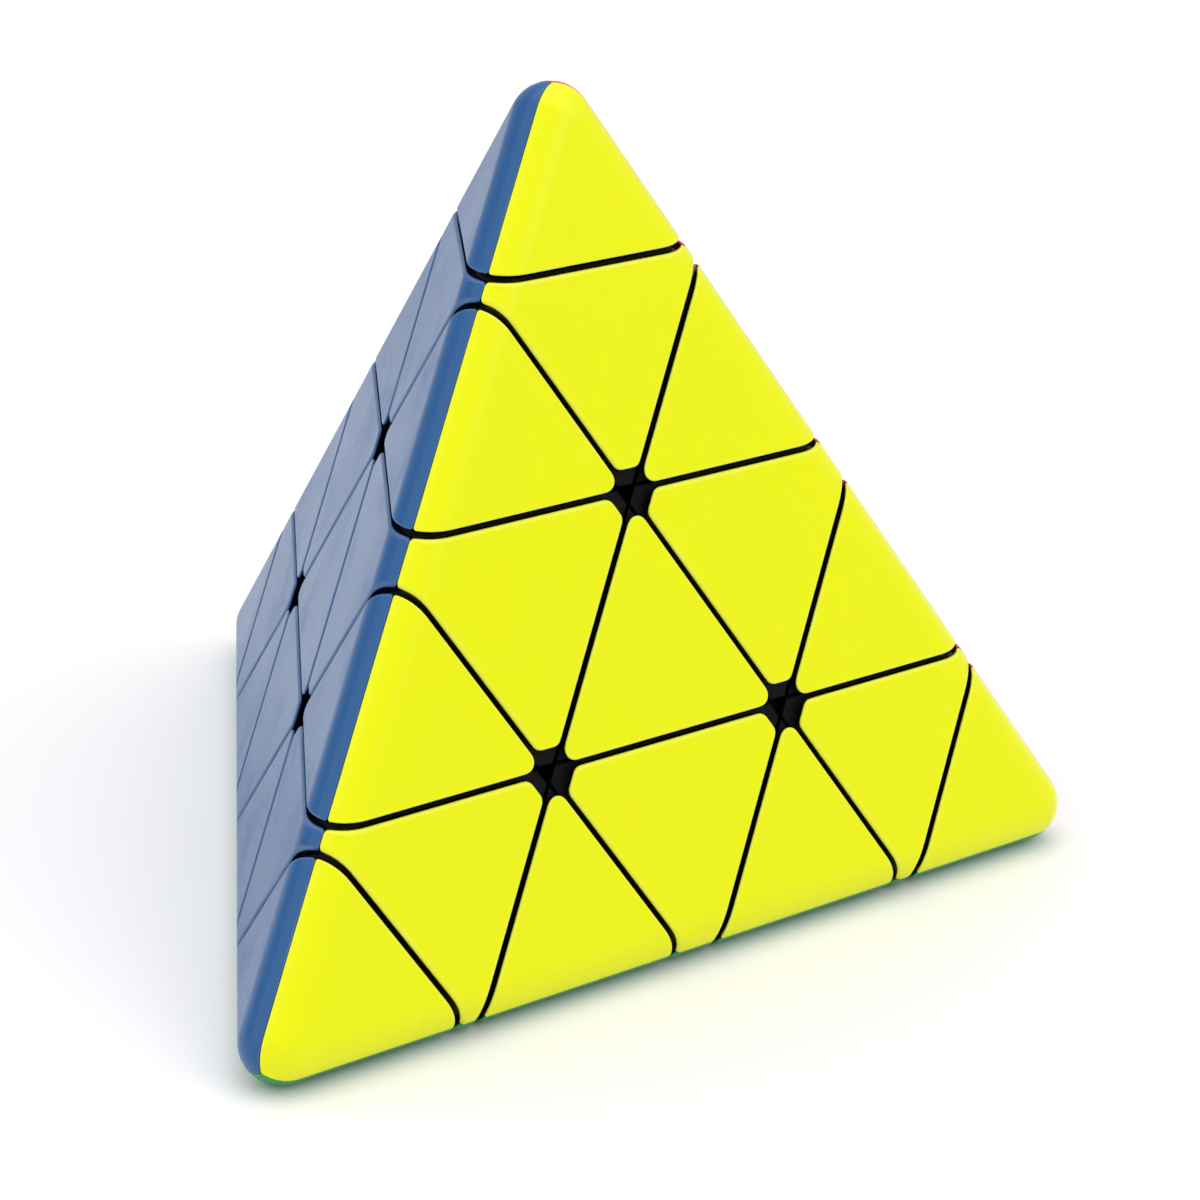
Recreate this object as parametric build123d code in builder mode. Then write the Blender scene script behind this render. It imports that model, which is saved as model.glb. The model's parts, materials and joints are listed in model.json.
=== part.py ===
"""Four-layer pyramid twisty puzzle: thirty outer pieces around a four-armed core.

Frame: millimetres, +Z up, origin at the centre of the base face, which rests on Z = 0.
The four vertices are called top, left, right and back, and the face opposite a vertex
has one colour. Every turning layer is cut by a surface of revolution about the axis
from the centre of the puzzle to a vertex.

Pieces are shaped once, in a frame with its origin at the centre of the puzzle, its Z
axis through vertex V and its X axis towards vertex W, and then placed for each pair of
vertices. The other two vertices of that frame are X and U.
"""

from math import asin, cos, pi, radians, sin, sqrt
import os

from build123d import *

# Outer shape
EDGE = 110.0  # edge of the pyramid before its edges are rounded
ROUNDING = 4.0  # radius over every outer edge and vertex
TILE = 1.1  # thickness of a coloured tile
CORNER = 1.3  # radius of the sharp tile corners where six tiles meet
BLUNT = 1.7  # height that the tiles between them lose at that place
BLUNT_CORNER = 0.7  # radius at both ends of such a blunt corner

# Layer cuts, as shares of the height from a face (0) to the opposite vertex (1)
TIP_CUT = 0.735
CAP_CUT = 0.505

# Running clearances, each kept on both sides of a cut
BASE_PLAY = 0.2  # between black bases
TILE_PLAY = 0.3  # between coloured tiles
FIT = 0.2  # posts and stems in their holes

# Tile pegs
PEG_RADIUS = 1.5
PEG_LENGTH = 2.0
PEG_PLAY = 0.1

# Core and screws
CORE_RADIUS = 11.3
POST_RADIUS = 2.5
SEAT_GAP = 0.5  # post end to spring seat
SCREW_RADIUS = 1.3
SCREW_DEPTH = 12.0  # screw below the post end
SCREW_PLAY = 0.1  # around the screw in its hole and its washer
HEAD_RADIUS = 3.2
HEAD_HEIGHT = 2.2
SLOT_WIDTH = 0.9
SLOT_LENGTH = 4.2
SLOT_DEPTH = 1.2
HEAD_ROOM = 2.0  # screw head to tip stem
WASHER_RIM = 0.2  # washer beyond the spring
WASHER_THICKNESS = 0.6
SPRING_RADIUS = 3.6  # centre line of the wire
SPRING_WIRE = 0.5  # wire radius
SPRING_LENGTH = 5.2  # centre line, end to end
SPRING_PITCH = 1.3
WELL_PLAY = 0.4  # around the washer in the pocket of the axial piece

# Interlocking feet on the deep cut
FOOT_THICKNESS = 3.2
FLANGE_THICKNESS = 3.3
FOOT_REACH = 5.0  # degrees that a foot reaches past the deep cut
FLANGE_REACH = 10.0  # degrees that a flange stays short of it

# Ring track under the cap cut
TRACK_INNER = 9.5
NECK_WALL = 2.5
HOOK = 1.4  # foot beyond its neck
LIP_THICKNESS = 3.1
TRACK_DEPTH = 2.5

# Tip stem, clipped in the axial piece
STEM_WALL = 1.2
STEM_LENGTH = 4.6
SOCKET_WALL = 0.8  # thinnest wall around the stem socket
BEAD = 0.35  # height of the snap bead
BEAD_WIDTH = 1.0

# Worked out from the above
HEIGHT = EDGE * sqrt(2 / 3)
IN_RADIUS = HEIGHT / 4  # centre to face
REACH = EDGE / sqrt(3)  # face centre to vertex
FAR = 2 * EDGE  # beyond everything
CENTRE = Vector(0, 0, IN_RADIUS)
SLOPE = 1 / (2 * sqrt(2))  # of a face against the axis of a vertex
DEEP_CUT = 1 / 4  # the deep cuts pass through the centre of the puzzle

TIP_Z = TIP_CUT * HEIGHT - IN_RADIUS
CAP_Z = CAP_CUT * HEIGHT - IN_RADIUS
DEEP_Z = DEEP_CUT * HEIGHT - IN_RADIUS
FOOT_ANGLE = 90 + FOOT_REACH
FLANGE_ANGLE = 90 - FLANGE_REACH
FOOT_TOP = CORE_RADIUS + FIT + FOOT_THICKNESS
FLANGE_TOP = FOOT_TOP + FLANGE_THICKNESS
NECK_OUTER = TRACK_INNER + NECK_WALL
TRACK_OUTER = NECK_OUTER + HOOK
NECK_Z = CAP_Z - LIP_THICKNESS
TRACK_Z = NECK_Z - TRACK_DEPTH

SOCKET_RADIUS = (3 * (IN_RADIUS - TILE) - TIP_Z) * SLOPE - SOCKET_WALL
STEM_RADIUS = SOCKET_RADIUS - FIT
STEM_Z = TIP_Z - STEM_LENGTH
BEAD_Z = STEM_Z + FIT + BEAD_WIDTH / 2
HEAD_Z = STEM_Z - HEAD_ROOM - HEAD_HEIGHT
WASHER_Z = HEAD_Z - WASHER_THICKNESS
SPRING_Z = WASHER_Z - SPRING_WIRE - SPRING_LENGTH
SEAT_Z = SPRING_Z - SPRING_WIRE
POST_Z = SEAT_Z - SEAT_GAP
WASHER_RADIUS = SPRING_RADIUS + SPRING_WIRE + WASHER_RIM
WELL_RADIUS = WASHER_RADIUS + WELL_PLAY

# Vertex directions seen from the centre of the puzzle
SHAPE = {
    "V": Vector(0, 0, 1),
    "W": Vector(2 * sqrt(2) / 3, 0, -1 / 3),
    "X": Vector(-sqrt(2) / 3, sqrt(6) / 3, -1 / 3),
    "U": Vector(-sqrt(2) / 3, -sqrt(6) / 3, -1 / 3),
}
PLACE = {
    "top": Vector(0, 0, 1),
    "left": Vector(-sqrt(6) / 3, -sqrt(2) / 3, -1 / 3),
    "right": Vector(sqrt(6) / 3, -sqrt(2) / 3, -1 / 3),
    "back": Vector(0, 2 * sqrt(2) / 3, -1 / 3),
}
FACE_COLOUR = {"back": "yellow", "right": "blue", "left": "red", "top": "green"}


def frame(vertices, up, across, origin=(0, 0, 0)):
    """Plane with its Z axis through one vertex and its X axis towards another."""
    z_dir = vertices[up]
    x_dir = vertices[across] - z_dir * vertices[across].dot(z_dir)
    return Plane(origin=origin, x_dir=x_dir, z_dir=z_dir)


def towards(name):
    """Shaping frame whose Z axis points at the vertex with this name."""
    return frame(SHAPE, name, "V" if name != "V" else "W")


def face_spot(own, next_one):
    """Point of the face opposite V, from its vertex weights for W and for X."""
    other = 1 - own - next_one
    x = REACH * (own - (next_one + other) * cos(pi / 3))
    y = REACH * (next_one - other) * sin(pi / 3)
    return (x, y, -IN_RADIUS + TILE)


TIP_SPOT = face_spot(TIP_CUT + (1 - TIP_CUT) / 3, (1 - TIP_CUT) / 3)
AXIAL_SPOT = face_spot(TIP_CUT - (TIP_CUT - CAP_CUT) / 3, (1 - TIP_CUT + (TIP_CUT - CAP_CUT) / 3) / 2)
WING_SPOT = face_spot((TIP_CUT + 2 * CAP_CUT) / 3, (2 * DEEP_CUT + 1 - CAP_CUT) / 3)
WING_SPOT_BACK = (WING_SPOT[0], -WING_SPOT[1], WING_SPOT[2])
MID_SPOT = face_spot((1 - DEEP_CUT * 2 / 3) / 2, (1 - DEEP_CUT * 2 / 3) / 2)
CENTRE_SPOT = face_spot(1 / 3, 1 / 3)


def pyramid(inset):
    """Rounded pyramid whose faces lie `inset` below the outer faces."""
    depth = IN_RADIUS - inset
    with BuildPart() as body:
        with BuildSketch(Plane.XY.offset(-depth)) as base:
            RegularPolygon(radius=depth * REACH / IN_RADIUS, side_count=3)
        loft(sections=[base.sketch.face(), Vertex(0, 0, 3 * depth)])
        fillet(body.edges(), radius=ROUNDING - inset)
    return body.part


def above(height):
    """Everything above this height on the Z axis."""
    with BuildPart() as zone:
        with BuildSketch(Plane.XY.offset(height)):
            Circle(FAR)
        extrude(amount=FAR)
    return zone.part


def deep_zone(play):
    """What a deep turn about Z carries, grown by `play`, with its foot and flange steps."""

    def at(radius, angle):
        turn = radians(angle) + asin(play / radius)
        return (radius * sin(turn), radius * cos(turn))

    middle = (FOOT_ANGLE + FLANGE_ANGLE) / 2
    low = CORE_RADIUS - FIT
    foot = FOOT_TOP + play
    flange = FLANGE_TOP - play
    with BuildPart() as zone:
        with BuildSketch(Plane.XZ):
            with BuildLine():
                Polyline((0, 0), at(low, FOOT_ANGLE), at(foot, FOOT_ANGLE))
                ThreePointArc(at(foot, FOOT_ANGLE), at(foot, middle), at(foot, FLANGE_ANGLE))
                Line(at(foot, FLANGE_ANGLE), at(flange, FLANGE_ANGLE))
                ThreePointArc(at(flange, FLANGE_ANGLE), at(flange, (FLANGE_ANGLE + 90) / 2), at(flange, 90))
                Polyline(at(flange, 90), (FAR, DEEP_Z - play), (FAR, FAR), (0, FAR), (0, 0))
            make_face()
        revolve(axis=Axis.Z)
    return zone.part


def cap_zone(play):
    """What a two-layer turn about Z carries, grown by `play`, with its ring of feet."""
    with BuildPart() as zone:
        with BuildSketch(Plane.XZ):
            with BuildLine():
                Polyline(
                    (0, CAP_Z - play),
                    (TRACK_INNER - play, CAP_Z - play),
                    (TRACK_INNER - play, TRACK_Z - play),
                    (TRACK_OUTER + play, TRACK_Z - play),
                    (TRACK_OUTER + play, NECK_Z + play),
                    (NECK_OUTER + play, NECK_Z + play),
                    (NECK_OUTER + play, CAP_Z - play),
                    (FAR, CAP_Z - play),
                    (FAR, FAR),
                    (0, FAR),
                    close=True,
                )
            make_face()
        revolve(axis=Axis.Z)
    return zone.part


def peg(radius, length):
    """Round peg standing on the XY plane."""
    with BuildPart() as pin:
        Cylinder(radius, length, align=(Align.CENTER, Align.CENTER, Align.MIN))
    return pin.part


OUTER = pyramid(0)
INNER = pyramid(TILE)
DEEP_IN = deep_zone(-BASE_PLAY)
DEEP_OUT = deep_zone(BASE_PLAY)
CAP_IN = cap_zone(-BASE_PLAY)
CAP_OUT = cap_zone(BASE_PLAY)
TIP_IN = above(TIP_Z + BASE_PLAY)
TIP_OUT = above(TIP_Z - BASE_PLAY)
SOCKET = peg(PEG_RADIUS + PEG_PLAY, PEG_LENGTH + PEG_PLAY)


def piece_base(inside, outside, spots, hollow=()):
    """One black base: the zones that carry it, the zones that don't, and its peg sockets.

    Each zone is a pair of a solid and the vertex that it turns about. Each spot is a
    tile frame, as the opposite vertex and the own vertex of the tile, and a place in it.
    """
    with BuildPart() as base:
        add(INNER)
        for space in hollow:
            add(space, mode=Mode.SUBTRACT)
        for zone, name in inside:
            with Locations(towards(name)):
                add(zone, mode=Mode.INTERSECT)
        for zone, name in outside:
            with Locations(towards(name)):
                add(zone, mode=Mode.SUBTRACT)
        for opposite, own, spot in spots:
            with Locations(frame(SHAPE, opposite, own).location * Location(spot)):
                add(SOCKET, mode=Mode.SUBTRACT)
    return base.part


def core_room():
    """Clearance sphere around the core ball."""
    with BuildPart() as room:
        Sphere(CORE_RADIUS + FIT + BASE_PLAY)
    return room.part


def tip_base():
    """Tip with its tubular stem and snap bead, on the Z axis."""
    with BuildPart() as tip:
        add(piece_base([(TIP_IN, "V")], [], [(face, "V", TIP_SPOT) for face in "WXU"]))
        with BuildSketch(Plane.XY.offset(STEM_Z + FIT)):
            Circle(STEM_RADIUS)
        extrude(until=Until.NEXT)
        with BuildSketch(Plane.XZ):
            with BuildLine():
                Polyline(
                    (STEM_RADIUS - STEM_WALL / 2, BEAD_Z - BEAD_WIDTH / 2),
                    (STEM_RADIUS, BEAD_Z - BEAD_WIDTH / 2),
                    (STEM_RADIUS + BEAD, BEAD_Z),
                    (STEM_RADIUS, BEAD_Z + BEAD_WIDTH / 2),
                    (STEM_RADIUS - STEM_WALL / 2, BEAD_Z + BEAD_WIDTH / 2),
                    close=True,
                )
            make_face()
        revolve(axis=Axis.Z)
        with BuildSketch(Plane.XY.offset(STEM_Z + FIT)):
            Circle(STEM_RADIUS - STEM_WALL)
        extrude(amount=STEM_LENGTH, mode=Mode.SUBTRACT)
    return tip.part


def axial_hollow():
    """Post bore, spring well and stem socket of an axial piece, as one stepped space."""
    groove = BEAD_WIDTH / 2 + FIT
    with BuildPart() as space:
        with BuildSketch(Plane.XZ):
            with BuildLine():
                Polyline(
                    (0, 0),
                    (POST_RADIUS + FIT, 0),
                    (POST_RADIUS + FIT, SEAT_Z),
                    (WELL_RADIUS, SEAT_Z),
                    (WELL_RADIUS, STEM_Z),
                    (SOCKET_RADIUS + BEAD, STEM_Z),
                    (SOCKET_RADIUS + BEAD, BEAD_Z + groove),
                    (SOCKET_RADIUS, BEAD_Z + groove + BEAD),
                    (SOCKET_RADIUS, TIP_Z),
                    (0, TIP_Z),
                    close=True,
                )
            make_face()
        revolve(axis=Axis.Z)
    return space.part


def inner_hub():
    """Ring around one post, under the axial piece, that holds the feet beside it."""
    with BuildPart() as hub:
        with BuildSketch(Plane.XY):
            Circle(TRACK_INNER - BASE_PLAY)
            Circle(POST_RADIUS + FIT, mode=Mode.SUBTRACT)
        extrude(amount=CAP_Z - BASE_PLAY)
        Sphere(FOOT_TOP + BASE_PLAY, mode=Mode.SUBTRACT)
        for name in "WXU":
            with Locations(towards(name)):
                add(DEEP_OUT, mode=Mode.SUBTRACT)
    return hub.part


def face_skin():
    """Coloured layer of the face opposite V, cut off halfway round its three edges."""
    with BuildPart() as skin:
        with BuildSketch(Plane.XY.offset(-IN_RADIUS)) as base:
            RegularPolygon(radius=REACH, side_count=3)
        loft(sections=[base.sketch.face(), Vertex(0, 0, 0)])
        add(OUTER, mode=Mode.INTERSECT)
        add(INNER, mode=Mode.SUBTRACT)
    return skin.part


def crosses(edge):
    """Whether an edge runs from the outside of a tile to its underside."""
    return edge.bounding_box().size.Z > TILE / 2


def tile(inside, outside, spot, sharp=(), blunt=()):
    """One tile of the face opposite V, with its peg.

    Zones are pairs of a cut height and a vertex. The tile has a sharp corner at some
    of the places where six tiles meet and a blunt one at others, and both get rounded.
    """
    with BuildPart() as plate:
        add(SKIN)
        for height, name in inside:
            with Locations(towards(name)):
                add(above(height + TILE_PLAY), mode=Mode.INTERSECT)
        for height, name in outside:
            with Locations(towards(name)):
                add(above(height - TILE_PLAY), mode=Mode.SUBTRACT)
        for places, count, radius in ((sharp, 1, CORNER), (blunt, 2, BLUNT_CORNER)):
            for place in places:
                corner = Vector(*place)
                through = plate.edges().filter_by(crosses)
                fillet(through.sort_by(lambda edge: (edge.center() - corner).length)[:count], radius)
        with Locations(spot):
            add(peg(PEG_RADIUS, PEG_LENGTH))
    return plate.part


SKIN = face_skin()
OWN_CORNER = face_spot(1 - 2 * DEEP_CUT, DEEP_CUT)
NEXT_CORNER = face_spot(DEEP_CUT, 1 - 2 * DEEP_CUT)
LAST_CORNER = face_spot(DEEP_CUT, DEEP_CUT)

TIP_TILE = tile([(TIP_Z, "W")], [], TIP_SPOT)
AXIAL_TILE = tile(
    [(CAP_Z + BLUNT, "W")],
    [(TIP_Z, "W"), (DEEP_Z, "X"), (DEEP_Z, "U")],
    AXIAL_SPOT,
    blunt=[OWN_CORNER],
)
WING_TILE = tile([(CAP_Z, "W"), (DEEP_Z, "X")], [(TIP_Z, "W")], WING_SPOT, sharp=[OWN_CORNER])
MID_TILE = tile(
    [(DEEP_Z + BLUNT, "W"), (DEEP_Z + BLUNT, "X")],
    [(CAP_Z, "W"), (CAP_Z, "X"), (DEEP_Z, "U")],
    MID_SPOT,
    blunt=[OWN_CORNER, NEXT_CORNER],
)
CENTRE_TILE = tile(
    [(DEEP_Z, "W"), (DEEP_Z, "X"), (DEEP_Z, "U")],
    [],
    CENTRE_SPOT,
    sharp=[OWN_CORNER, NEXT_CORNER, LAST_CORNER],
)
WING_TILE_BACK = mirror(WING_TILE, about=Plane.XZ)

CORE_ROOM = core_room()
TIP_BASE = tip_base()
HUB = inner_hub()
AXIAL_BASE = piece_base(
    [(CAP_IN, "V")],
    [(TIP_OUT, "V")] + [(DEEP_OUT, name) for name in "WXU"],
    [(face, "V", AXIAL_SPOT) for face in "WXU"],
    [axial_hollow()],
)
WING_BASE = piece_base(
    [(CAP_IN, "V"), (DEEP_IN, "W")],
    [(TIP_OUT, "V"), (DEEP_OUT, "X"), (DEEP_OUT, "U")],
    [("U", "V", WING_SPOT_BACK), ("X", "V", WING_SPOT)],
)
MID_BASE = piece_base(
    [(DEEP_IN, "V"), (DEEP_IN, "W")],
    [(DEEP_OUT, "X"), (DEEP_OUT, "U"), (CAP_OUT, "V"), (CAP_OUT, "W")],
    [("U", "W", MID_SPOT), ("X", "V", MID_SPOT)],
    [CORE_ROOM],
)
CENTRE_BASE = piece_base(
    [(DEEP_IN, "W"), (DEEP_IN, "X"), (DEEP_IN, "U")],
    [(DEEP_OUT, "V"), (CAP_OUT, "W"), (CAP_OUT, "X"), (CAP_OUT, "U")],
    [("V", "W", CENTRE_SPOT)],
    [CORE_ROOM],
)


def core_spider():
    """Ball with four bored posts, one towards each vertex."""
    with BuildPart() as core:
        Sphere(CORE_RADIUS)
        with Locations(*[towards(name) for name in SHAPE]):
            add(peg(POST_RADIUS, POST_Z))
        with Locations(*[towards(name) for name in SHAPE]):
            with Locations((0, 0, POST_Z - SCREW_DEPTH)):
                Cylinder(
                    SCREW_RADIUS + SCREW_PLAY,
                    SCREW_DEPTH + FIT,
                    align=(Align.CENTER, Align.CENTER, Align.MIN),
                    mode=Mode.SUBTRACT,
                )
    return core.part


def arm_screw():
    """Round-headed screw with a cross slot, on the Z axis."""
    with BuildPart() as screw:
        with BuildSketch(Plane.XY.offset(HEAD_Z)):
            Circle(HEAD_RADIUS)
        extrude(amount=HEAD_HEIGHT)
        fillet(screw.edges().group_by(Axis.Z)[-1], radius=HEAD_HEIGHT / 2)
        with BuildSketch(Plane.XY.offset(HEAD_Z)):
            Circle(SCREW_RADIUS)
        extrude(amount=-(HEAD_Z - POST_Z + SCREW_DEPTH - FIT))
        chamfer(screw.edges().group_by(Axis.Z)[0], length=SCREW_RADIUS / 2)
        with BuildSketch(Plane.XY.offset(HEAD_Z + HEAD_HEIGHT)):
            Rectangle(SLOT_LENGTH, SLOT_WIDTH)
            Rectangle(SLOT_WIDTH, SLOT_LENGTH)
        extrude(amount=-SLOT_DEPTH, mode=Mode.SUBTRACT)
    return screw.part


def screw_washer():
    """Flat ring between screw head and spring, on the Z axis."""
    with BuildPart() as washer:
        with BuildSketch(Plane.XY.offset(WASHER_Z)):
            Circle(WASHER_RADIUS)
            Circle(SCREW_RADIUS + SCREW_PLAY, mode=Mode.SUBTRACT)
        extrude(amount=WASHER_THICKNESS)
    return washer.part


def screw_spring():
    """Compression spring that presses the axial piece down, on the Z axis."""
    with BuildPart() as spring:
        with BuildLine(Plane.XY.offset(SPRING_Z)) as wire:
            Helix(pitch=SPRING_PITCH, height=SPRING_LENGTH, radius=SPRING_RADIUS)
        with BuildSketch(Plane(origin=wire.line @ 0, z_dir=wire.line % 0)):
            Circle(SPRING_WIRE)
        sweep(path=wire.line, is_frenet=True)
    return spring.part


def save(name, shapes):
    """Write one node: shapes is a list of (placing plane, shape) pairs."""
    with BuildPart() as node:
        for plane, shape in shapes:
            with Locations(plane):
                add(shape)
    node.part.label = name
    export_step(node.part, f"parts/{name}.step")


def seat(up, across):
    """Place of a shaped piece in the puzzle."""
    return frame(PLACE, up, across, CENTRE)


def side_of(name):
    """Another vertex, which lines up the pieces on the arm of this one."""
    return "top" if name != "top" else "back"


def on_each_arm(shape):
    """The same shape on all four arms."""
    return [(seat(name, side_of(name)), shape) for name in PLACE]


os.makedirs("parts", exist_ok=True)

save("core_spider", [(seat("top", "back"), core_spider())])
save("inner_hubs", on_each_arm(HUB))
save("arm_screws", on_each_arm(arm_screw()))
save("screw_washers", on_each_arm(screw_washer()))
save("screw_springs", on_each_arm(screw_spring()))
save("face_centre_bases", on_each_arm(CENTRE_BASE))

NAMES = list(PLACE)
for index, one in enumerate(NAMES):
    for other in NAMES[index + 1:]:
        save(f"mid_base_{one}_{other}", [(seat(one, other), MID_BASE)])

for vertex in NAMES:
    save(f"axial_base_{vertex}", [(seat(vertex, side_of(vertex)), AXIAL_BASE)])
    save(f"tip_base_{vertex}", [(seat(vertex, side_of(vertex)), TIP_BASE)])
    for other in NAMES:
        if other != vertex:
            save(f"wing_base_{vertex}_{other}", [(seat(vertex, other), WING_BASE)])

for opposite, colour in FACE_COLOUR.items():
    corners = [name for name in NAMES if name != opposite]
    middle = [(seat(opposite, corners[0]), CENTRE_TILE)]
    save(f"fixed_tiles_{colour}", middle + [(seat(opposite, name), MID_TILE) for name in corners])
    for name in corners:
        place = seat(opposite, name)
        save(f"tip_tile_{name}_{colour}", [(place, TIP_TILE)])
        save(
            f"cap_tiles_{name}_{colour}",
            [(place, AXIAL_TILE), (place, WING_TILE), (place, WING_TILE_BACK)],
        )
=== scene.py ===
"""Looks of a four-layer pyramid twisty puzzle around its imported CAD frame.

The sixty-four coloured tiles are built here as closed moulded plates with rolled rims
and pegs. The black bases, core, screws and springs are the CAD solids, with finishes.
"""

import json
import logging
import math
from dataclasses import dataclass, field
from enum import Enum
from typing import Sequence

import bmesh
import bpy
import numpy as np
from mathutils import Euler, Matrix, Vector


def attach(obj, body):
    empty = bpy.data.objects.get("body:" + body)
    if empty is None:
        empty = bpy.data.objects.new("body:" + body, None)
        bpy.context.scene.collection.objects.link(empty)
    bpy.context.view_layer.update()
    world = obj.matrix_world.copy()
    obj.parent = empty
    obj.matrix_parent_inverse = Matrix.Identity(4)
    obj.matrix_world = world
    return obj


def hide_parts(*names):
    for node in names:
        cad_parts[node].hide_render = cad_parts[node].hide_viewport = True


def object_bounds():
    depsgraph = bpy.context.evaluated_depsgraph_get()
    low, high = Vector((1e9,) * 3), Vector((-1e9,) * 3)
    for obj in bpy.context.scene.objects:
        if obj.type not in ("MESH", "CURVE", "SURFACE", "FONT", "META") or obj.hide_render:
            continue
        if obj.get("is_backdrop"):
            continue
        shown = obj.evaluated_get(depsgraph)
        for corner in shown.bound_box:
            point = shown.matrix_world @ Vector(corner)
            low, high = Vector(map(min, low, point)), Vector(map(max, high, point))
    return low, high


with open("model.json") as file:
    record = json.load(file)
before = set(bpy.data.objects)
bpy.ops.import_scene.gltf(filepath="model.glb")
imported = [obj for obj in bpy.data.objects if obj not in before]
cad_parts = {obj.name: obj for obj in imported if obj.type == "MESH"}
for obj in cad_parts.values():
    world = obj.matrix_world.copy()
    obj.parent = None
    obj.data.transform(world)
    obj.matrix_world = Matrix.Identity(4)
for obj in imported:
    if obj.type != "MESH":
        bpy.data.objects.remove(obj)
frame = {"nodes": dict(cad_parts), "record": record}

log = logging.getLogger("pyramid")
MM = 0.001
ROOT2, ROOT3, ROOT6 = math.sqrt(2), math.sqrt(3), math.sqrt(6)
STEEPEST = 0.93  # of a rounded edge, as the sine of its slope
OPPOSITE = -0.99  # cosine under which two sides never meet in a corner
BELOW_RIM = -1.0  # rim mark of the hidden walls and underside, which the tile finish darkens with painted shade
UNDER_ROWS = 5  # rows of a tile below its rim: three on the peg and two on the wall
Cut = tuple[str, float, bool]


class Corner(Enum):
    """A vertex of the pyramid, with its direction from the centre of the puzzle."""

    TOP = (0.0, 0.0, 1.0)
    LEFT = (-ROOT6 / 3, -ROOT2 / 3, -1 / 3)
    RIGHT = (ROOT6 / 3, -ROOT2 / 3, -1 / 3)
    BACK = (0.0, 2 * ROOT2 / 3, -1 / 3)

    @property
    def label(self) -> str:
        """Name of the vertex in node and body names."""
        return self.name.lower()

    @property
    def direction(self) -> Vector:
        """Unit vector from the centre of the puzzle to the vertex."""
        return Vector(self.value)


class FaceColour(Enum):
    """A face colour, with the vertex opposite that face."""

    YELLOW = Corner.BACK
    BLUE = Corner.RIGHT
    RED = Corner.LEFT
    GREEN = Corner.TOP

    @property
    def label(self) -> str:
        """Name of the colour in node and slot names."""
        return self.name.lower()

    @property
    def corners(self) -> list[Corner]:
        """The three vertices of the face."""
        return [corner for corner in Corner if corner is not self.value]


class TileKind(Enum):
    """A tile outline, by the piece that carries it."""

    TIP = "tip"
    AXIAL = "axial"
    WING = "wing"
    WING_BACK = "wing_back"
    MIDDLE = "middle"
    CENTRE = "centre"


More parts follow.
